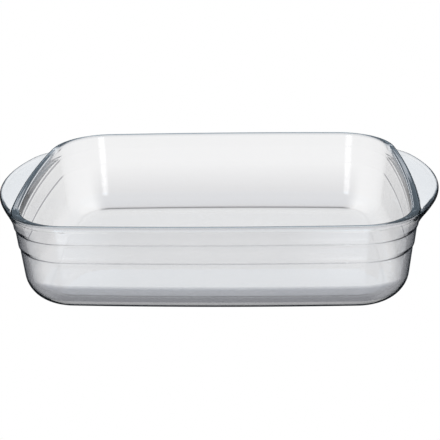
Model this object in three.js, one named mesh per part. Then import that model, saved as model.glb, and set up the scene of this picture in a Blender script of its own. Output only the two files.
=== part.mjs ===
// Rectangular glass baking dish, pressed in one piece: bowed sides, a rounded rim bead,
// two shallow steps round the outer wall and a crescent handle on each short side.
import * as THREE from 'three';

// Driving dimensions, in millimetres and degrees
const overallLength = 350; // over both handles
const rimLength = 310; // over the rim bead, along X
const rimWidth = 230; // over the rim bead, along Y
const height = 72;
const longSideRadius = 2800; // plan radius of the bowed long sides
const shortSideRadius = 700; // plan radius of the bowed short sides
const floorCornerRadius = 20; // plan radius at the tightest ring, where the wall meets the floor
const wallThickness = 4.8; // at the foot of the wall
const floorThickness = 5.4;
const draftAngle = 4.4; // lean of each band of the outer wall
const outerBaseRadius = 21.5;
const innerBaseRadius = 17;
const rimThickness = 7;
const rimRound = 2.8; // height of the rounded top of the rim
const rimDepth = 3.4; // from the top of the rim to the first step
const rimStep = 0.3; // how far the wall steps in under the rim
const wallStep = 0.8; // depth of each of the two lower steps
const middleBand = 15.1; // height of the band between the two lower steps
const handleSpan = 156; // length of the handle along the short side
const handleBlend = 4; // how softly the handle's ends run into the rim
const handleRise = 8; // reach at which the handle has climbed to its full height
const handleThickness = 6; // of the bead along the handle's edge
const handleDrop = 2.1; // from the top of the rim to the top of the handle's bead
const handleFall = 0.6; // taper of the handle's underside
const handleLip = 2.5; // from the crest of the handle's bead in to its level web
const webFall = 0.3; // fall of the web from the rim outwards
const handleToStep = 2.2; // wall left between the handle's root and the second step

// How finely the round stretches are divided
const shortSegments = 8;
const cornerSegments = 8;
const longSegments = 5;
const baseSegments = 6;
const edgeSegments = 6;
const rimSegments = 8;

const slopeOf = (degrees) => Math.tan(THREE.MathUtils.degToRad(degrees));

// Heights of the steps, from the top down
const rimStepZ = height - rimDepth;
const handleRootZ = rimStepZ - handleFall - handleThickness / 2; // middle of its edge where it starts
const handleClimb = rimDepth + handleFall - handleDrop;
const handleMidZ = handleRootZ + handleClimb; // middle of its edge at full reach
const upperBand = handleThickness + 2 * handleFall + handleToStep;
const secondStepZ = rimStepZ - upperBand;
const thirdStepZ = secondStepZ - middleBand;
const ledgeFall = wallStep / 2;

// Inset of the outer wall behind the edge of the rim, after a number of lower steps
const draft = slopeOf(draftAngle);
const outerInset = (z, steps) => rimStep + steps * wallStep + (rimStepZ - z) * draft;

// Round foot of a wall, from the wall down to a level floor: inset and height of each point
function footArc(wallInset, slope, radius, floorZ) {
  const lean = Math.atan(slope);
  const centreZ = floorZ + radius;
  const centreInset = wallInset(centreZ) + radius / Math.cos(lean);
  const points = [];
  for (let i = 0; i <= baseSegments; i++) {
    const turn = (Math.PI / 2 - lean) * (1 - i / baseSegments);
    points.push([centreInset - radius * Math.sin(turn), centreZ - radius * Math.cos(turn)]);
  }
  return points;
}

// The inner wall is straight from the rim to the foot, where it leaves the full wall thickness
const lowerInset = (z) => outerInset(z, 2);
const outerFoot = footArc(lowerInset, draft, outerBaseRadius, 0).reverse();
const footTop = outerFoot[baseSegments];
const rimRoundZ = height - rimRound;
const innerFootInset = footTop[0] + wallThickness / Math.cos(Math.atan(draft));
const innerSlope = (innerFootInset - rimThickness) / (rimRoundZ - footTop[1]);
const innerInset = (z) => rimThickness + (rimRoundZ - z) * innerSlope;
const innerFoot = footArc(innerInset, innerSlope, innerBaseRadius, floorThickness);

// Section through the wall at one place on the outline, where the handle reaches out by `reach`
function sectionAt(reach) {
  const midZ = handleRootZ + handleClimb * THREE.MathUtils.smoothstep(reach, 0, handleRise);
  const undersideZ = midZ - handleThickness / 2 - handleFall;
  const webZ = rimStepZ - webFall;
  const round = Math.min(reach, handleThickness / 2);
  const flat = reach - round;
  const web = Math.max(flat - handleLip, 0);
  const points = [
    ...outerFoot,
    [outerInset(thirdStepZ - ledgeFall, 2), thirdStepZ - ledgeFall],
    [outerInset(thirdStepZ, 1), thirdStepZ],
    [outerInset(secondStepZ - ledgeFall, 1), secondStepZ - ledgeFall],
    [outerInset(secondStepZ, 0), secondStepZ],
    [outerInset(undersideZ, 0), undersideZ],
  ];
  for (let i = 0; i <= edgeSegments; i++) {
    const turn = (Math.PI * i) / edgeSegments;
    const z = midZ - (handleThickness / 2) * Math.cos(turn);
    points.push([outerInset(z, 0) - flat - round * Math.sin(turn), z]);
  }
  points.push([outerInset(webZ, 0) - web, webZ]);
  points.push([outerInset(rimStepZ, 0), rimStepZ]);
  for (let i = 0; i <= rimSegments; i++) {
    const turn = (Math.PI * i) / rimSegments;
    const half = rimThickness / 2;
    points.push([half - half * Math.cos(turn), rimRoundZ + rimRound * Math.sin(turn)]);
  }
  return [...points, ...innerFoot];
}

// Outline of the rim: three touching arcs to a quarter, each place with its outward direction
const sectionInset = Math.max(outerFoot[0][0], innerFoot[baseSegments][0]);
const cornerRadius = floorCornerRadius + sectionInset;
const longCentre = new THREE.Vector2(0, rimWidth / 2 - longSideRadius);
const shortCentre = new THREE.Vector2(rimLength / 2 - shortSideRadius, 0);

function cornerCentre() {
  const fromLong = longSideRadius - cornerRadius;
  const fromShort = shortSideRadius - cornerRadius;
  const between = new THREE.Vector2().subVectors(longCentre, shortCentre);
  const gap = between.length();
  const along = (fromShort ** 2 - fromLong ** 2 + gap ** 2) / (2 * gap);
  const across = Math.sqrt(fromShort ** 2 - along ** 2);
  const unit = between.normalize();
  const side = new THREE.Vector2(-unit.y, unit.x);
  return shortCentre.clone().addScaledVector(unit, along).addScaledVector(side, across);
}

function arcPlaces(centre, radius, from, to, segments) {
  const places = [];
  for (let i = 0; i < segments; i++) {
    const turn = from + ((to - from) * i) / segments;
    const out = new THREE.Vector2(Math.cos(turn), Math.sin(turn));
    places.push({ at: centre.clone().addScaledVector(out, radius), out });
  }
  return places;
}

function quarterPlaces() {
  const corner = cornerCentre();
  const shortEnd = new THREE.Vector2().subVectors(corner, shortCentre).angle();
  const longEnd = new THREE.Vector2().subVectors(corner, longCentre).angle();
  return [
    ...arcPlaces(shortCentre, shortSideRadius, 0, shortEnd, shortSegments),
    ...arcPlaces(corner, cornerRadius, shortEnd, longEnd, cornerSegments),
    ...arcPlaces(longCentre, longSideRadius, longEnd, Math.PI / 2, longSegments),
  ];
}

function mirrored(place, x, y) {
  const flip = new THREE.Vector2(x, y);
  return { at: place.at.clone().multiply(flip), out: place.out.clone().multiply(flip) };
}

function outlinePlaces() {
  const quarter = quarterPlaces();
  const end = { at: new THREE.Vector2(0, rimWidth / 2), out: new THREE.Vector2(0, 1) };
  const half = [...quarter, end];
  const back = quarter.slice(1).reverse().map((place) => mirrored(place, -1, 1));
  const upper = [...half, ...back];
  return [...upper, ...upper.map((place) => mirrored(place, -1, -1))];
}

// How far the handle stands out at a distance along the short side from its middle
function handleReach(y) {
  const full = (overallLength - rimLength) / 2 + outerInset(handleMidZ, 0);
  const reach = full * (1 - (y / (handleSpan / 2)) ** 2);
  const near = Math.max(handleBlend - Math.abs(reach), 0);
  return Math.max(reach, 0) + near ** 2 / (4 * handleBlend);
}

// One closed skin: a ring of places for each point of the section, a fan over the underside
// and a fan over the floor
function dishGeometry() {
  const places = outlinePlaces();
  const sections = places.map((place) => sectionAt(handleReach(place.at.y)));
  const count = places.length;
  const rings = sections[0].length;
  const positions = [];
  for (let r = 0; r < rings; r++) {
    places.forEach((place, i) => {
      const [inset, z] = sections[i][r];
      const at = place.at.clone().addScaledVector(place.out, -inset);
      positions.push(at.x, at.y, z);
    });
  }
  const underside = rings * count;
  const floor = underside + 1;
  positions.push(0, 0, 0, 0, 0, floorThickness);
  const triangles = [];
  for (let i = 0; i < count; i++) {
    const next = (i + 1) % count;
    for (let r = 0; r < rings - 1; r++) {
      const low = r * count;
      const high = low + count;
      triangles.push(low + i, low + next, high + next);
      triangles.push(low + i, high + next, high + i);
    }
    const last = (rings - 1) * count;
    triangles.push(underside, next, i);
    triangles.push(floor, last + i, last + next);
  }
  const geometry = new THREE.BufferGeometry();
  geometry.setAttribute('position', new THREE.Float32BufferAttribute(positions, 3));
  geometry.setIndex(triangles);
  geometry.computeVertexNormals();
  return geometry;
}

const glass = new THREE.MeshStandardMaterial({ color: 0xdce9ec, roughness: 0.06, metalness: 0 });
const dish = new THREE.Mesh(dishGeometry(), glass);
dish.name = 'glass_dish';

const bakingDish = new THREE.Group();
bakingDish.name = 'baking_dish';
bakingDish.add(dish);

export default bakingDish;
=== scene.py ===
"""A clear pressed-glass baking dish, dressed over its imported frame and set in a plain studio."""
import math

import bpy
from mathutils import Matrix, Vector


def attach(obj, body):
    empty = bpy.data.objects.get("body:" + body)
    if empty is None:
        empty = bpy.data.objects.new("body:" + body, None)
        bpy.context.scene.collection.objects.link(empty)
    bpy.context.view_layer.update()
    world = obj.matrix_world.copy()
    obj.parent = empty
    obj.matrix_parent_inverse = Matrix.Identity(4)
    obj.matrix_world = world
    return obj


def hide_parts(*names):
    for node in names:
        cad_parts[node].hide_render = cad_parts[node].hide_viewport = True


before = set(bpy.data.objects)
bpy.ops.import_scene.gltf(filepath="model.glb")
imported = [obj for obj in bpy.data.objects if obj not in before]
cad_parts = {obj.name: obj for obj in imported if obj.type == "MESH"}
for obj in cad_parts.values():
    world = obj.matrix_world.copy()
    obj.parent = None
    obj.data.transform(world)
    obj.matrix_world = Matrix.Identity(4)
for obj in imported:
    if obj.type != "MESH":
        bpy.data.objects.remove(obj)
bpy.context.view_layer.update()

MM = 0.001

# Sizes of the dish, in metres and radians
DISH_SIZES = {
    "Overall length": 350 * MM,
    "Rim length": 310 * MM,
    "Rim width": 230 * MM,
    "Height": 72 * MM,
    "Long side radius": 2800 * MM,
    "Short side radius": 700 * MM,
    "Floor corner radius": 20 * MM,
    "Wall thickness": 4.8 * MM,
    "Floor thickness": 5.4 * MM,
    "Draft angle": math.radians(4.4),
    "Outer base radius": 21.5 * MM,
    "Inner base radius": 17 * MM,
    "Rim thickness": 7 * MM,
    "Rim round": 2.8 * MM,
    "Rim squareness": 0.75,
    "Rim depth": 3.4 * MM,
    "Rim step": 0.3 * MM,
    "Rim fillet": 1.6 * MM,
    "Wall step": 0.8 * MM,
    "Ledge height": 1.8 * MM,
    "Ledge drop": 1.2 * MM,
    "Middle band": 15.1 * MM,
    "Handle span": 156 * MM,
    "Handle blend": 4 * MM,
    "Handle rise": 12 * MM,
    "Handle thickness": 6 * MM,
    "Handle drop": 2.1 * MM,
    "Handle fall": 0.6 * MM,
    "Handle fillet": 3 * MM,
    "Handle lip": 5 * MM,
    "Web rise": 0.7 * MM,
    "Handle to step": 2.2 * MM,
}

# Steps along each stretch of the section, from the middle of the underside to the middle of the floor
FLAT_STEPS = 4
FOOT_STEPS = 18
BAND_STEPS = 5
LEDGE_STEPS = 6
FILLET_STEPS = 6
EDGE_STEPS = 16
LIP_STEPS = 8
RIM_STEPS = 24

# Steps along a quarter of the outline
SHORT_SIDE_STEPS = 36
CORNER_STEPS = 28
LONG_SIDE_STEPS = 24
QUARTER_STEPS = SHORT_SIDE_STEPS + CORNER_STEPS + LONG_SIDE_STEPS

# Points closer than this are one point: the seam and the middles of the two flats
SEAM_GAP = 0.004 * MM

# Marks that the skin of the dish carries, for the glass to read, and the steps over which they fade
OUTER_SKIN = "outer_skin"
RIM_SKIN = "rim_skin"
HANDLE_EDGE = "handle_edge"
LONG_SIDES = "long_sides"
SHORT_SIDES = "short_sides"
CORNERS = "corners"
LEDGE_OFFSET = "ledge_offset"
FLOOR_LINE = "floor_line"
MARK_STEPS = 2.0

# Directions that the wall faces, where the sides and the corners start and where they are full
LONG_SIDE_START = math.cos(math.radians(35.0))
LONG_SIDE_FULL = math.cos(math.radians(10.0))
SHORT_SIDE_START = math.sin(math.radians(16.0))
SHORT_SIDE_FULL = math.sin(math.radians(4.0))
CORNER_LONG_START = math.sin(math.radians(24.0))
CORNER_LONG_FULL = math.sin(math.radians(40.0))
CORNER_SHORT_START = math.sin(math.radians(6.0))
CORNER_SHORT_FULL = math.sin(math.radians(20.0))

# The glass itself: how much it bends light, and the colour and strength of its tint in depth
GLASS_IOR = 1.47
GLASS_COLOUR = (0.39, 0.39, 0.43)
GLASS_DENSITY = 20.0

# Mould ripple in the glass: waves to the metre, depth, and the roughness it varies between
RIPPLE_SCALE = 60.0
RIPPLE_DETAIL = 3.0
RIPPLE_DEPTH = 0.08 * MM
ROUGHNESS_LOW = 0.0
ROUGHNESS_HIGH = 0.02

CLEAR = (1.0, 1.0, 1.0)
# Darkest painted shade of the rim and the handle edges, blue-green like the glass seen edge-on
DEEP_BLUE_GREEN = (0.0006, 0.004, 0.009)

# Painted shade on the outer wall by how far it turns away from the eye, darkest at turned edges: the turn,
# and the colour let through
EDGE_PAINTED_SHADES = (
    (0.32, CLEAR),
    (0.44, (0.68, 0.69, 0.71)),
    (0.56, (0.43, 0.44, 0.47)),
    (0.7, (0.18, 0.19, 0.215)),
    (0.84, (0.018, 0.02, 0.026)),
    (1.0, (0.0004, 0.0006, 0.001)),
)

# Painted shade on the rim in the same way, over the blue-green of the thick glass, on the short sides, and
# on the long sides and the corners
SHORT_RIM_PAINTED_SHADES = (
    (0.62, CLEAR),
    (0.74, (0.7, 0.8, 0.88)),
    (0.84, (0.3, 0.45, 0.56)),
    (0.92, (0.05, 0.12, 0.18)),
    (1.0, DEEP_BLUE_GREEN),
)
LONG_RIM_PAINTED_SHADES = (
    (0.5, CLEAR),
    (0.58, (0.56, 0.65, 0.7)),
    (0.66, (0.2, 0.3, 0.37)),
    (0.76, (0.04, 0.1, 0.15)),
    (1.0, DEEP_BLUE_GREEN),
)

# Painted shade on the round edges of the handles in the same way, over the blue-green of the thick glass
HANDLE_PAINTED_SHADES = (
    (0.28, CLEAR),
    (0.4, (0.64, 0.71, 0.75)),
    (0.52, (0.34, 0.44, 0.5)),
    (0.66, (0.09, 0.18, 0.24)),
    (0.8, (0.01, 0.038, 0.065)),
    (1.0, DEEP_BLUE_GREEN),
)

# Painted shade: the ledges under the steps are painted as dark lines where they turn the corners away from
# the eye
LEDGE_LINE_HALF = 1.5 * MM
LEDGE_LINE_SOFT = 0.6 * MM
LEDGE_TURN_START = 0.36
LEDGE_TURN_FULL = 0.56
LEDGE_PAINTED_SHADE = (0.0006, 0.0006, 0.001)

# Along the short sides the same ledges get finer lines of painted shade when they are met aslant from
# within the glass
LEDGE_INSIDE_HALF = 0.4 * MM
LEDGE_INSIDE_SOFT = 0.5 * MM
LEDGE_INSIDE_TURN_START = 0.08
LEDGE_INSIDE_TURN_FULL = 0.22
LEDGE_INSIDE_PAINTED_SHADE = (0.08, 0.08, 0.1)

# A fine line of painted shade where the floor turns up: steps above the floor, reach in steps, share left
# on the short sides, and the turns from the eye where it is full and where it is gone
FLOOR_LINE_STEP = 3
FLOOR_LINE_REACH = 1.5
FLOOR_LINE_SHORT_SHARE = 0.2
FLOOR_LINE_FULL = 0.45
FLOOR_LINE_GONE = 0.75
FLOOR_LINE_PAINTED_SHADE = (0.02, 0.02, 0.025)

# A painted contact shadow, dark low on the foot where the dish meets the table: heights where it is full,
# and where it ends
BASE_LINE_LOW = 0.3 * MM
BASE_LINE_HIGH = 6.2 * MM
BASE_LINE_TOP = 7.2 * MM
BASE_PAINTED_SHADOW = (0.012, 0.013, 0.022)

# The thick round foot, darkened with painted shade: heights where it starts and ends, and the least turn
# that its painted shade is taken for
FOOT_TOP = 29 * MM
FOOT_FULL = 21.5 * MM
FOOT_LOW = 2 * MM
FOOT_TURN = 0.63

# The long walls darken slowly towards the foot when they are met from within the glass
SHADE_TOP = 46 * MM
SHADE_FULL = 6 * MM
SHADE_TINT = (0.56, 0.56, 0.58)

# A light line round the foot, just above where it turns under
GLINT_LOW = 8.0 * MM
GLINT_HIGH = 9.6 * MM
GLINT_SOFT = 1.3 * MM


class Number:
    """A number that a node tree works out at each point, written as ordinary arithmetic."""

    def __init__(self, tree, socket):
        self.tree = tree
        self.socket = socket

    def __add__(self, other):
        return work("ADD", self, other)

    def __radd__(self, other):
        return work("ADD", other, self)

    def __sub__(self, other):
        return work("SUBTRACT", self, other)

    def __rsub__(self, other):
        return work("SUBTRACT", other, self)

    def __mul__(self, other):
        return work("MULTIPLY", self, other)

    def __rmul__(self, other):
        return work("MULTIPLY", other, self)

    def __truediv__(self, other):
        return work("DIVIDE", self, other)

    def __neg__(self):
        return work("MULTIPLY", self, -1.0)


def plug(value, entry):
    """Put a worked-out number or a plain value into a node's input."""
    if isinstance(value, Number):
        value.tree.links.new(value.socket, entry)
    else:
        entry.default_value = value


def work(operation, *values):
    """One step of arithmetic, as a Math node."""
    tree = next(value.tree for value in values if isinstance(value, Number))
    node = tree.nodes.new("ShaderNodeMath")
    node.operation = operation
    for entry, value in zip(node.inputs, values):
        plug(value, entry)
    return Number(tree, node.outputs["Value"])


def square(value):
    return work("MULTIPLY", value, value)


def part_way(first, second, share):
    """A number on the way from a first number to a second."""
    return first + (second - first) * share


def ramp(value, low, high, shape="LINEAR"):
    """How far a value has come from low to high, held between 0 and 1."""
    node = value.tree.nodes.new("ShaderNodeMapRange")
    node.interpolation_type = shape
    plug(value, node.inputs["Value"])
    plug(low, node.inputs["From Min"])
    plug(high, node.inputs["From Max"])
    return Number(value.tree, node.outputs["Result"])


def band(value, start, full, fading, end):
    """Nothing up to a start, full between two limits, and nothing again from an end on."""
    return ramp(value, start, full) * ramp(value, end, fading)


def softened(value, blend):
    """A value that comes softly down to nothing and stays there."""
    near = work("MAXIMUM", blend - work("ABSOLUTE", value), 0.0)
    return work("MAXIMUM", value, 0.0) + square(near) / (blend * 4.0)


def once_past(value, limit, before, after):
    """One number up to a limit, and another past it."""
    node = value.tree.nodes.new("GeometryNodeSwitch")
    node.input_type = "FLOAT"
    plug(work("GREATER_THAN", value, limit), node.inputs["Switch"])
    plug(before, node.inputs["False"])
    plug(after, node.inputs["True"])
    return Number(value.tree, node.outputs["Output"])


def straight(start, end, share):
    """A point on the straight line from start to end."""
    return tuple(part_way(first, second, share) for first, second in zip(start, end))


def rounded(start, corner, end, share):
    """A soft turn that leaves start towards the corner and comes in to end."""
    return straight(straight(start, corner, share), straight(corner, end, share), share)


def easing(start, end, share):
    """A soft step between two upright stretches."""
    across = ramp(share, 0.0, 1.0, "SMOOTHSTEP")
    return part_way(start[0], end[0], across), part_way(start[1], end[1], share)


def settling(start, end, share):
    """A soft drop between two level stretches."""
    down = ramp(share, 0.0, 1.0, "SMOOTHSTEP")
    return part_way(start[0], end[0], share), part_way(start[1], end[1], down)


class Foot:
    """The round foot of a wall: where the wall's lean meets a level floor."""

    def __init__(self, inset_at, slope, radius, floor):
        self.radius = radius
        self.lean = work("ARCTANGENT", slope)
        self.full_turn = math.pi / 2 - self.lean
        self.centre_z = floor + radius
        self.centre_inset = inset_at(self.centre_z) + radius / work("COSINE", self.lean)
        self.floor_end = (self.centre_inset, floor)
        self.wall_end = self.at(self.full_turn)

    def at(self, turn):
        """The point of the round at a turn up from the floor."""
        inset = self.centre_inset - self.radius * work("SINE", turn)
        return inset, self.centre_z - self.radius * work("COSINE", turn)

    def rising(self, share):
        return self.at(self.full_turn * share)

    def falling(self, share):
        return self.at(self.full_turn * (1.0 - share))


class Wall:
    """Heights, slopes and insets that follow from the sizes of the dish."""

    def __init__(self, size):
        self.size = size
        self.draft = work("TANGENT", size["Draft angle"])
        self.rim_step_z = size["Height"] - size["Rim depth"]
        self.rim_round_z = size["Height"] - size["Rim round"]
        half_bead = size["Handle thickness"] / 2.0
        self.handle_root_z = self.rim_step_z - size["Handle fall"] - half_bead
        self.handle_climb = size["Rim depth"] + size["Handle fall"] - size["Handle drop"]
        upper_band = size["Handle thickness"] + size["Handle fall"] * 2.0 + size["Handle to step"]
        self.second_step_z = self.rim_step_z - upper_band
        self.third_step_z = self.second_step_z - size["Middle band"]

        self.outer_foot = Foot(self.lowest_outer, self.draft, size["Outer base radius"], 0.0)
        foot_inset, foot_z = self.outer_foot.wall_end
        across_wall = size["Wall thickness"] / work("COSINE", self.outer_foot.lean)
        inner_lean = foot_inset + across_wall - size["Rim thickness"]
        self.inner_slope = inner_lean / (self.rim_round_z - foot_z)
        floor = size["Floor thickness"]
        self.inner_foot = Foot(self.inner, self.inner_slope, size["Inner base radius"], floor)
        self.deepest = work("MAXIMUM", self.outer_foot.centre_inset, self.inner_foot.centre_inset)

    def outer(self, z, steps):
        """Inset of the outer face behind the edge of the rim, after a number of lower steps."""
        size = self.size
        return size["Rim step"] + size["Wall step"] * float(steps) + (self.rim_step_z - z) * self.draft

    def lowest_outer(self, z):
        return self.outer(z, 2)

    def on_outer(self, z, steps):
        return self.outer(z, steps), z

    def inner(self, z):
        return self.size["Rim thickness"] + (self.rim_round_z - z) * self.inner_slope

    def ledge(self, step_z, steps):
        """The lower and upper end of the ledge at a step, which is deeper below it by one step."""
        low_z = step_z - self.size["Ledge drop"]
        return self.on_outer(low_z, steps + 1), self.on_outer(low_z + self.size["Ledge height"], steps)

    def ledge_offset(self, z):
        """How far a height is from the upper end of the nearer ledge."""
        rise = self.size["Ledge height"] - self.size["Ledge drop"]
        step_heights = (self.second_step_z, self.third_step_z)
        return work("MINIMUM", *[work("ABSOLUTE", z - step_z - rise) for step_z in step_heights])

    def handle_reach(self, y):
        """How far the handle stands out at a distance along the short side from its middle."""
        size = self.size
        mid_z = self.handle_root_z + self.handle_climb
        full = (size["Overall length"] - size["Rim length"]) / 2.0 + self.outer(mid_z, 0)
        return softened(full * (1.0 - square(y / (size["Handle span"] / 2.0))), size["Handle blend"])


def corner_centre(long_y, short_x, from_long, from_short):
    """Where the corner arc is centred, so that it touches the arcs of both sides."""
    gap = work("SQRT", square(short_x) + square(long_y))
    along = (square(from_short) - square(from_long) + square(gap)) / (gap * 2.0)
    across = work("SQRT", square(from_short) - square(along))
    unit_x = -short_x / gap
    unit_y = long_y / gap
    return short_x + unit_x * along - unit_y * across, unit_y * along + unit_x * across


class Outline:
    """The edge of the rim in plan: three touching arcs to a quarter, mirrored to four quarters."""

    def __init__(self, size, deepest, place):
        along = work("PINGPONG", place, float(QUARTER_STEPS))
        past_short = float(SHORT_SIDE_STEPS)
        past_corner = float(SHORT_SIDE_STEPS + CORNER_STEPS)
        long_radius = size["Long side radius"]
        short_radius = size["Short side radius"]
        corner_radius = size["Floor corner radius"] + deepest
        long_y = size["Rim width"] / 2.0 - long_radius
        short_x = size["Rim length"] / 2.0 - short_radius
        from_long = long_radius - corner_radius
        from_short = short_radius - corner_radius
        corner_x, corner_y = corner_centre(long_y, short_x, from_long, from_short)

        short_end = work("ARCTAN2", corner_y, corner_x - short_x)
        long_end = work("ARCTAN2", corner_y - long_y, corner_x)
        turn = short_end * ramp(along, 0.0, past_short)
        turn = turn + (long_end - short_end) * ramp(along, past_short, past_corner)
        turn = turn + (math.pi / 2 - long_end) * ramp(along, past_corner, float(QUARTER_STEPS))

        def by_arc(on_short, on_corner, on_long):
            """One number for each of the three arcs."""
            return once_past(along, past_short, on_short, once_past(along, past_corner, on_corner, on_long))

        radius = by_arc(short_radius, corner_radius, long_radius)
        centre_x = by_arc(short_x, corner_x, 0.0)
        centre_y = by_arc(0.0, corner_y, long_y)
        past_quarter = once_past(place, float(QUARTER_STEPS), 1.0, -1.0)
        side_x = once_past(place, 3.0 * QUARTER_STEPS, past_quarter, 1.0)
        side_y = once_past(place, 2.0 * QUARTER_STEPS, 1.0, -1.0)
        self.out_x = side_x * work("COSINE", turn)
        self.out_y = side_y * work("SINE", turn)
        self.x = side_x * centre_x + radius * self.out_x
        self.y = side_y * centre_y + radius * self.out_y

    def on_long_sides(self):
        """Full along the long sides, and nothing along the short ones."""
        return ramp(work("ABSOLUTE", self.out_y), LONG_SIDE_START, LONG_SIDE_FULL, "SMOOTHSTEP")

    def on_short_sides(self):
        """Full along the short sides, and nothing from the corners on."""
        return ramp(work("ABSOLUTE", self.out_y), SHORT_SIDE_START, SHORT_SIDE_FULL, "SMOOTHSTEP")

    def on_corners(self):
        """Full on the turn of each corner, and nothing along the four sides."""
        along_x = work("ABSOLUTE", self.out_x)
        along_y = work("ABSOLUTE", self.out_y)
        past_long = ramp(along_x, CORNER_LONG_START, CORNER_LONG_FULL, "SMOOTHSTEP")
        return past_long * ramp(along_y, CORNER_SHORT_START, CORNER_SHORT_FULL, "SMOOTHSTEP")


class Section:
    """The line round the wall of the dish, taken stretch by stretch from the underside."""

    def __init__(self, start):
        self.start = start
        self.stretches = []
        self.steps = 0
        self.lip_first = 0
        self.neck_first = 0
        self.rim_first = 0
        self.floor_line_at = 0

    def stretch(self, steps, path):
        """Add a stretch of a number of steps, whose path gives a point for a share of the way."""
        self.stretches.append((self.steps, steps, path))
        self.steps += steps

    def at(self, ring):
        """The inset and the height at a number of steps from the start."""
        inset, z = self.start
        for first, steps, path in self.stretches:
            share = ramp(ring, float(first), float(first + steps))
            next_inset, next_z = path(share)
            inset = once_past(ring, float(first), inset, next_inset)
            z = once_past(ring, float(first), z, next_z)
        return inset, z

    def rim_skin(self, ring):
        """Full on the whole rim, and nothing elsewhere."""
        rim_end = float(self.rim_first + RIM_STEPS)
        return band(ring, float(self.neck_first), float(self.rim_first), rim_end - MARK_STEPS, rim_end)

    def handle_edge(self, ring):
        """Full on the round edge of the handle, and nothing elsewhere."""
        edge_first = float(self.lip_first - EDGE_STEPS)
        lip_first = float(self.lip_first)
        return band(ring, edge_first, edge_first + MARK_STEPS, lip_first - MARK_STEPS, lip_first)

    def floor_line(self, ring):
        """Full on the line where the floor turns up, and nothing a step or two away from it."""
        away = work("ABSOLUTE", ring - float(self.floor_line_at))
        return ramp(away, FLOOR_LINE_REACH, 0.0)

    def outer_skin(self, ring):
        """Full on the outside of the wall, nothing on the handle's web, full on the rim, nothing inside."""
        before_web = 1.0 - ramp(ring, float(self.lip_first - EDGE_STEPS // 2), float(self.lip_first))
        return before_web + self.rim_skin(ring)


def dish_section(wall, reach):
    """The section where the handle stands out by a reach, which is nothing along the long sides."""
    size = wall.size
    half_bead = size["Handle thickness"] / 2.0
    mid_z = wall.handle_root_z + wall.handle_climb * ramp(reach, 0.0, size["Handle rise"], "SMOOTHSTEP")
    under_z = mid_z - half_bead - size["Handle fall"]
    bead = work("MINIMUM", reach, half_bead)
    flat = reach - bead
    web = softened(flat - size["Handle lip"], size["Handle blend"])
    web_z = wall.rim_step_z + size["Web rise"] * ramp(web, 0.0, size["Handle rise"])
    root = work("MINIMUM", flat, size["Handle fillet"])
    neck = web * size["Rim fillet"] / (web + size["Rim fillet"])
    half_rim = size["Rim thickness"] / 2.0

    third_low, third_high = wall.ledge(wall.third_step_z, 1)
    second_low, second_high = wall.ledge(wall.second_step_z, 0)
    root_low = wall.on_outer(under_z - size["Handle fillet"] / 2.0, 0)
    root_corner = wall.on_outer(under_z, 0)
    root_out = (root_corner[0] - root, under_z)
    edge_low_z = mid_z - half_bead
    edge_low = (wall.outer(edge_low_z, 0) - flat, edge_low_z)
    crest_z = mid_z + half_bead
    crest = (wall.outer(crest_z, 0) - flat, crest_z)
    web_out = (wall.outer(web_z, 0) - web, web_z)
    neck_corner = wall.on_outer(wall.rim_step_z, 0)
    neck_out = (neck_corner[0] - neck, wall.rim_step_z)
    rim_out = (0.0, wall.rim_round_z)
    rim_in = (size["Rim thickness"], wall.rim_round_z)

    def handle_edge(share):
        turn = share * math.pi
        z = mid_z - half_bead * work("COSINE", turn)
        return wall.outer(z, 0) - flat - bead * work("SINE", turn), z

    def rim_top(share):
        turn = share * math.pi
        across = work("COSINE", turn)
        squared = work("SIGN", across) * work("POWER", work("ABSOLUTE", across), size["Rim squareness"])
        lift = work("POWER", work("MAXIMUM", work("SINE", turn), 0.0), size["Rim squareness"])
        return half_rim - half_rim * squared, wall.rim_round_z + size["Rim round"] * lift

    line = Section(wall.outer_foot.floor_end)
    line.stretch(FLAT_STEPS, lambda share: wall.outer_foot.floor_end)
    line.stretch(FOOT_STEPS, wall.outer_foot.rising)
    line.stretch(BAND_STEPS, lambda share: straight(wall.outer_foot.wall_end, third_low, share))
    line.stretch(LEDGE_STEPS, lambda share: easing(third_low, third_high, share))
    line.stretch(BAND_STEPS, lambda share: straight(third_high, second_low, share))
    line.stretch(LEDGE_STEPS, lambda share: easing(second_low, second_high, share))
    line.stretch(BAND_STEPS, lambda share: straight(second_high, root_low, share))
    line.stretch(FILLET_STEPS, lambda share: rounded(root_low, root_corner, root_out, share))
    line.stretch(BAND_STEPS, lambda share: straight(root_out, edge_low, share))
    line.stretch(EDGE_STEPS, handle_edge)
    line.lip_first = line.steps
    line.stretch(LIP_STEPS, lambda share: settling(crest, web_out, share))
    line.stretch(BAND_STEPS, lambda share: straight(web_out, neck_out, share))
    line.neck_first = line.steps
    line.stretch(FILLET_STEPS, lambda share: rounded(neck_out, neck_corner, rim_out, share))
    line.rim_first = line.steps
    line.stretch(RIM_STEPS, rim_top)
    line.stretch(BAND_STEPS, lambda share: straight(rim_in, wall.inner_foot.wall_end, share))
    line.stretch(FOOT_STEPS, wall.inner_foot.falling)
    line.floor_line_at = line.steps - FLOOR_LINE_STEP
    line.stretch(FLAT_STEPS, lambda share: wall.inner_foot.floor_end)
    return line


def node_after(tree, kind, geometry):
    """Add a node that the geometry passes through."""
    node = tree.nodes.new(kind)
    tree.links.new(geometry, node.inputs[0])
    return node


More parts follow.
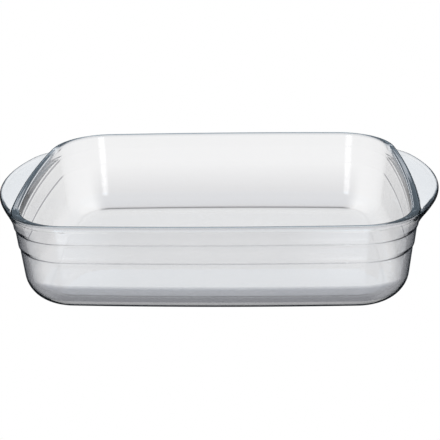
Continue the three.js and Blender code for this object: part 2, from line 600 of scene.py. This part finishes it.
def dish_tree(glass):
    """The rule that draws the dish: a sheet of points, each set on the section at its place."""
    tree = bpy.data.node_groups.new("pressed_dish", "GeometryNodeTree")
    tree.interface.new_socket(name="Geometry", in_out="OUTPUT", socket_type="NodeSocketGeometry")
    for name in DISH_SIZES:
        tree.interface.new_socket(name=name, in_out="INPUT", socket_type="NodeSocketFloat")
    entry = tree.nodes.new("NodeGroupInput")
    size = {name: Number(tree, entry.outputs[name]) for name in DISH_SIZES}

    position = tree.nodes.new("GeometryNodeInputPosition")
    parts = tree.nodes.new("ShaderNodeSeparateXYZ")
    tree.links.new(position.outputs["Position"], parts.inputs["Vector"])
    places = 4 * QUARTER_STEPS
    place = work("ROUND", Number(tree, parts.outputs["X"]) + places / 2)

    wall = Wall(size)
    outline = Outline(size, wall.deepest, place)
    reach = wall.handle_reach(outline.y)
    line = dish_section(wall, reach)
    ring = work("ROUND", Number(tree, parts.outputs["Y"]) + line.steps / 2)
    inset, z = line.at(ring)
    from_under = ramp(ring, 0.0, float(FLAT_STEPS))
    to_floor = ramp(ring, float(line.steps - FLAT_STEPS), float(line.steps))
    spread = (1.0 - square(1.0 - from_under)) * (1.0 - square(to_floor))

    point = tree.nodes.new("ShaderNodeCombineXYZ")
    plug(spread * (outline.x - inset * outline.out_x), point.inputs["X"])
    plug(spread * (outline.y - inset * outline.out_y), point.inputs["Y"])
    plug(z, point.inputs["Z"])

    sheet = tree.nodes.new("GeometryNodeMeshGrid")
    sheet.inputs["Size X"].default_value = places
    sheet.inputs["Size Y"].default_value = line.steps
    sheet.inputs["Vertices X"].default_value = places + 1
    sheet.inputs["Vertices Y"].default_value = line.steps + 1

    long_sides = outline.on_long_sides()
    marks = {
        OUTER_SKIN: line.outer_skin(ring),
        RIM_SKIN: line.rim_skin(ring),
        HANDLE_EDGE: line.handle_edge(ring) * ramp(reach, 0.0, size["Handle fillet"]),
        LONG_SIDES: long_sides,
        SHORT_SIDES: outline.on_short_sides(),
        CORNERS: outline.on_corners(),
        LEDGE_OFFSET: wall.ledge_offset(z),
        FLOOR_LINE: line.floor_line(ring) * work("MAXIMUM", long_sides, FLOOR_LINE_SHORT_SHARE),
    }
    marked = sheet
    for name, value in marks.items():
        marked = node_after(tree, "GeometryNodeStoreNamedAttribute", marked.outputs[0])
        marked.inputs["Name"].default_value = name
        plug(value, marked.inputs["Value"])
    shaped = node_after(tree, "GeometryNodeSetPosition", marked.outputs["Geometry"])
    tree.links.new(point.outputs["Vector"], shaped.inputs["Position"])
    closed = node_after(tree, "GeometryNodeMergeByDistance", shaped.outputs["Geometry"])
    closed.inputs["Distance"].default_value = SEAM_GAP
    smooth = node_after(tree, "GeometryNodeSetShadeSmooth", closed.outputs["Geometry"])
    real = node_after(tree, "GeometryNodeRealizeInstances", smooth.outputs["Geometry"])
    finished = node_after(tree, "GeometryNodeSetMaterial", real.outputs["Geometry"])
    finished.inputs["Material"].default_value = glass
    leave = tree.nodes.new("NodeGroupOutput")
    tree.links.new(finished.outputs["Geometry"], leave.inputs["Geometry"])
    return tree


def grown_mesh(name, tree, sizes):
    """Run a tree with its sizes set, and keep the result as a plain mesh."""
    carrier = bpy.data.objects.new(name, bpy.data.meshes.new(name))
    bpy.context.scene.collection.objects.link(carrier)
    modifier = carrier.modifiers.new(name, "NODES")
    modifier.node_group = tree
    for item in tree.interface.items_tree:
        if item.in_out == "INPUT":
            modifier[item.identifier] = sizes[item.name]
    graph = bpy.context.evaluated_depsgraph_get()
    mesh = bpy.data.meshes.new_from_object(carrier.evaluated_get(graph))
    carrier.modifiers.remove(modifier)
    carrier.data = mesh
    return carrier


def mixed(tree, share, first, second):
    """A colour on the way from a first colour to a second, each a plain colour or a node's output."""
    node = tree.nodes.new("ShaderNodeMix")
    node.data_type = "RGBA"
    plug(share, node.inputs["Factor"])
    for colour, entry in ((first, node.inputs["A"]), (second, node.inputs["B"])):
        if isinstance(colour, tuple):
            entry.default_value = (*colour, 1.0)
        else:
            tree.links.new(colour, entry)
    return node.outputs["Result"]


def mark(tree, name):
    """A number that the piece carries at each point."""
    node = tree.nodes.new("ShaderNodeAttribute")
    node.attribute_name = name
    return Number(tree, node.outputs["Fac"])


def graded(tree, value, tints):
    """A colour that passes through a list of tints as a value grows."""
    node = tree.nodes.new("ShaderNodeValToRGB")
    stops = node.color_ramp.elements
    while len(stops) < len(tints):
        stops.new(1.0)
    for stop, (position, colour) in zip(stops, tints):
        stop.position = position
        stop.color = (*colour, 1.0)
    plug(value, node.inputs["Fac"])
    return node.outputs["Color"]


def base_colour_with_painted_shade(tree, height):
    """Base colour of the glass: clear, with painted shade at turned edges, on the thick foot, the ledges,
    the floor line, the base and the rim, and a painted light line round the foot.
    """
    foot = ramp(height, FOOT_TOP, FOOT_FULL, "SMOOTHSTEP") * ramp(height, 0.0, FOOT_LOW)
    glint = band(height, GLINT_LOW - GLINT_SOFT, GLINT_LOW, GLINT_HIGH, GLINT_HIGH + GLINT_SOFT)
    # Painted contact shadow low on the foot, where the dish meets the table
    painted_contact_shadow = band(height, 0.0, BASE_LINE_LOW, BASE_LINE_HIGH, BASE_LINE_TOP)
    shade = band(height, 0.0, FOOT_LOW, SHADE_FULL, SHADE_TOP)
    outer = mark(tree, OUTER_SKIN)
    long_sides = mark(tree, LONG_SIDES)
    corners = mark(tree, CORNERS)
    ledge_offset = mark(tree, LEDGE_OFFSET)
    face = tree.nodes.new("ShaderNodeNewGeometry")
    weight = tree.nodes.new("ShaderNodeLayerWeight")
    facing = Number(tree, weight.outputs["Facing"])

    # Painted shade by turn from the eye, held dark on the foot and lifted to clear along the painted light
    # line round it
    turn = work("MAXIMUM", facing, foot * FOOT_TURN) * (1.0 - glint)
    past_short = work("MAXIMUM", long_sides, corners)
    rim = mixed(tree, past_short, graded(tree, turn, SHORT_RIM_PAINTED_SHADES), graded(tree, turn, LONG_RIM_PAINTED_SHADES))
    edge = mixed(tree, mark(tree, RIM_SKIN), graded(tree, turn, EDGE_PAINTED_SHADES), rim)
    edge = mixed(tree, mark(tree, HANDLE_EDGE), edge, graded(tree, turn, HANDLE_PAINTED_SHADES))
    # Painted shade lines on the ledges at the corners, full once they turn from the eye
    ledge_line = ramp(ledge_offset, LEDGE_LINE_HALF + LEDGE_LINE_SOFT, LEDGE_LINE_HALF)
    ledge_line = ledge_line * corners * ramp(facing, LEDGE_TURN_START, LEDGE_TURN_FULL)
    # Painted shade line where the floor turns up, fading as it turns from the eye
    floor_line = mark(tree, FLOOR_LINE) * ramp(facing, FLOOR_LINE_GONE, FLOOR_LINE_FULL)
    # Painted shade seen from outside: turned edges, rim and handle edges, the contact shadow, ledge lines
    # and the floor line
    from_outside = mixed(tree, outer, CLEAR, edge)
    from_outside = mixed(tree, outer * painted_contact_shadow, from_outside, BASE_PAINTED_SHADOW)
    from_outside = mixed(tree, outer * ledge_line, from_outside, LEDGE_PAINTED_SHADE)
    from_outside = mixed(tree, floor_line, from_outside, FLOOR_LINE_PAINTED_SHADE)

    # Painted shade seen from within the glass: fine ledge lines on the short sides, and the long walls
    # darker towards the foot
    inner_line = ramp(ledge_offset, LEDGE_INSIDE_HALF + LEDGE_INSIDE_SOFT, LEDGE_INSIDE_HALF)
    inner_line = inner_line * ramp(facing, LEDGE_INSIDE_TURN_START, LEDGE_INSIDE_TURN_FULL)
    inner_line = inner_line * mark(tree, SHORT_SIDES)
    from_inside = mixed(tree, outer * shade * long_sides, CLEAR, SHADE_TINT)
    from_inside = mixed(tree, outer * inner_line, from_inside, LEDGE_INSIDE_PAINTED_SHADE)
    return mixed(tree, Number(tree, face.outputs["Backfacing"]), from_outside, from_inside)


def clear_glass():
    """Clear pressed glass: faint mould ripple, a grey tint that shows where it is thick, and painted shade
    and light in its base colour.
    """
    glass = bpy.data.materials.new("clear_pressed_glass")
    glass.use_nodes = True
    nodes = glass.node_tree.nodes
    links = glass.node_tree.links
    shader = nodes["Principled BSDF"]
    shader.inputs["Transmission Weight"].default_value = 1.0
    shader.inputs["IOR"].default_value = GLASS_IOR

    where = nodes.new("ShaderNodeTexCoord")
    parts = nodes.new("ShaderNodeSeparateXYZ")
    links.new(where.outputs["Object"], parts.inputs["Vector"])
    height = Number(glass.node_tree, parts.outputs["Z"])
    links.new(base_colour_with_painted_shade(glass.node_tree, height), shader.inputs["Base Color"])

    ripple = nodes.new("ShaderNodeTexNoise")
    ripple.inputs["Scale"].default_value = RIPPLE_SCALE
    ripple.inputs["Detail"].default_value = RIPPLE_DETAIL
    links.new(where.outputs["Object"], ripple.inputs["Vector"])
    waves = Number(glass.node_tree, ripple.outputs["Fac"])
    plug(part_way(ROUGHNESS_LOW, ROUGHNESS_HIGH, waves), shader.inputs["Roughness"])
    bump = nodes.new("ShaderNodeBump")
    bump.inputs["Distance"].default_value = RIPPLE_DEPTH
    plug(waves, bump.inputs["Height"])
    links.new(bump.outputs["Normal"], shader.inputs["Normal"])

    absorption = nodes.new("ShaderNodeVolumeAbsorption")
    absorption.inputs["Color"].default_value = (*GLASS_COLOUR, 1.0)
    absorption.inputs["Density"].default_value = GLASS_DENSITY
    links.new(absorption.outputs["Volume"], nodes["Material Output"].inputs["Volume"])
    return glass


def add_dish():
    """The one piece of pressed glass, in place of the plain solid."""
    glass = clear_glass()
    dish = grown_mesh("pressed_glass_dish", dish_tree(glass), DISH_SIZES)
    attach(dish, "root")
    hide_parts("glass_dish")


# Camera, fitted to the rim, the outline and the step lines of the photographed dish
CAMERA_AT = Vector((37.04, -685.36, 316.38)) * MM
CAMERA_YAW = math.radians(-3.041)
CAMERA_PITCH = math.radians(22.556)
CAMERA_ROLL = math.radians(-1.412)
CAMERA_LENS = 73.532
CAMERA_SENSOR = 36.0


def add_camera():
    """Stand the camera where the photograph was taken from."""
    ahead = Vector((
        math.sin(CAMERA_YAW) * math.cos(CAMERA_PITCH),
        math.cos(CAMERA_YAW) * math.cos(CAMERA_PITCH),
        -math.sin(CAMERA_PITCH),
    ))
    level = Vector((math.cos(CAMERA_YAW), -math.sin(CAMERA_YAW), 0.0))
    upright = level.cross(ahead)
    right = math.cos(CAMERA_ROLL) * level + math.sin(CAMERA_ROLL) * upright
    up = math.cos(CAMERA_ROLL) * upright - math.sin(CAMERA_ROLL) * level
    data = bpy.data.cameras.new("camera")
    data.lens = CAMERA_LENS
    data.sensor_width = CAMERA_SENSOR
    camera = bpy.data.objects.new("camera", data)
    turn = Matrix((right, up, -ahead)).transposed()
    camera.matrix_world = Matrix.Translation(CAMERA_AT) @ turn.to_4x4()
    bpy.context.scene.collection.objects.link(camera)
    bpy.context.scene.camera = camera


# The floor of the studio, just under the dish, white by its own light
FLOOR_HALF = 60.0
FLOOR_DROP = 0.3 * MM
FLOOR_BASE = (0.0, 0.0, 0.0, 1.0)
FLOOR_GLOW = (1.0, 1.0, 1.0, 1.0)
FLOOR_STRENGTH = 1.0


def add_floor():
    """A white floor for the picture. The glass itself is lit by the studio around it."""
    mesh = bpy.data.meshes.new("studio_floor")
    corners = [(-1, -1), (1, -1), (1, 1), (-1, 1)]
    points = [(x * FLOOR_HALF, y * FLOOR_HALF, -FLOOR_DROP) for x, y in corners]
    mesh.from_pydata(points, [], [(0, 1, 2, 3)])
    floor = bpy.data.objects.new("studio_floor", mesh)
    bpy.context.scene.collection.objects.link(floor)
    paint = bpy.data.materials.new("pale_floor")
    paint.use_nodes = True
    shader = paint.node_tree.nodes["Principled BSDF"]
    shader.inputs["Base Color"].default_value = FLOOR_BASE
    shader.inputs["Emission Color"].default_value = FLOOR_GLOW
    shader.inputs["Emission Strength"].default_value = FLOOR_STRENGTH
    shader.inputs["Roughness"].default_value = 1.0
    shader.inputs["Specular IOR Level"].default_value = 0.0
    mesh.materials.append(paint)
    floor.visible_transmission = False
    floor.visible_glossy = False
    floor.visible_diffuse = False
    floor.visible_shadow = False


# Heights where each zone of the studio ends and the next is full, as the upward part of a direction
GROUND_TOP = -0.8
SCREEN_FOOT = -0.42
SCREEN_TOP = 0.1
WALL_FOOT = 0.22
WALL_TOP = 0.55
CEILING_EDGE = 0.75

# Light of each zone, and of the zones as they are seen in reflections inside and on the glass
GROUND_LIGHT = 0.75
SCREEN_LIGHT = 1.0
WALL_LIGHT = 0.42
CEILING_LIGHT = 1.0
MIRRORED_LIGHT = 0.55
GLOSS_LIGHT = 0.04
WALL_GLOSS_LIGHT = 0.8

# Colour of reflections, and of dim light: the light where it starts to colour and where it is full
GLOSS_COLOUR = (0.72, 0.91, 1.09)
DIM_COLOUR = (0.4, 0.85, 1.2)
DIM_START = 0.5
DIM_FULL = 0.1

# Two upright light strips, with bearings turned from straight in front of the dish
STRIP_BEARINGS = (math.radians(14.0), math.radians(-23.0))
STRIP_HALF_WIDTH = math.radians(3.0)
STRIP_FADE = math.radians(11.0)
STRIP_FOOT = -0.6
STRIP_TOP = 0.5
STRIP_SOFT = 0.2
STRIP_LIGHT = 3.2


def add_light():
    """Soft studio light: a bright screen all round, dim walls above it, a bright ceiling, two strips."""
    world = bpy.data.worlds.new("studio")
    bpy.context.scene.world = world
    world.use_nodes = True
    tree = world.node_tree
    where = tree.nodes.new("ShaderNodeTexCoord")
    parts = tree.nodes.new("ShaderNodeSeparateXYZ")
    tree.links.new(where.outputs["Generated"], parts.inputs["Vector"])
    height = Number(tree, parts.outputs["Z"])
    paths = tree.nodes.new("ShaderNodeLightPath")
    mirrored = work("MINIMUM", Number(tree, paths.outputs["Glossy Depth"]), 1.0)
    gloss = Number(tree, paths.outputs["Is Reflection Ray"])

    screen = part_way(SCREEN_LIGHT, MIRRORED_LIGHT, mirrored)
    screen = part_way(screen, GLOSS_LIGHT, gloss)
    ground = part_way(GROUND_LIGHT, GLOSS_LIGHT, gloss)
    wall = part_way(WALL_LIGHT, WALL_GLOSS_LIGHT, gloss)
    light = part_way(ground, screen, ramp(height, GROUND_TOP, SCREEN_FOOT))
    light = part_way(light, wall, ramp(height, SCREEN_TOP, WALL_FOOT))
    light = part_way(light, CEILING_LIGHT, ramp(height, WALL_TOP, CEILING_EDGE))

    bearing = work("ARCTAN2", Number(tree, parts.outputs["X"]), -Number(tree, parts.outputs["Y"]))
    upright = band(height, STRIP_FOOT, STRIP_FOOT + STRIP_SOFT, STRIP_TOP - STRIP_SOFT, STRIP_TOP)
    for strip_bearing in STRIP_BEARINGS:
        off_strip = work("ABSOLUTE", bearing - strip_bearing)
        strip = ramp(off_strip, STRIP_FADE, STRIP_HALF_WIDTH, "SMOOTHSTEP") * upright
        light = light + STRIP_LIGHT * strip * mirrored

    plug(light, tree.nodes["Background"].inputs["Strength"])
    colour = mixed(tree, ramp(light, DIM_START, DIM_FULL), CLEAR, DIM_COLOUR)
    colour = mixed(tree, gloss, colour, GLOSS_COLOUR)
    tree.links.new(colour, tree.nodes["Background"].inputs["Color"])


# Bounces that light needs to pass through the walls and along the inside of the glass
GLASS_BOUNCES = 32
MIRROR_BOUNCES = 16


def set_picture():
    """Plain colours, and enough bounces for light inside the glass."""
    scene = bpy.context.scene
    scene.view_settings.view_transform = "Standard"
    scene.cycles.max_bounces = GLASS_BOUNCES
    scene.cycles.transmission_bounces = GLASS_BOUNCES
    scene.cycles.glossy_bounces = MIRROR_BOUNCES


add_camera()
add_floor()
add_light()
set_picture()
add_dish()
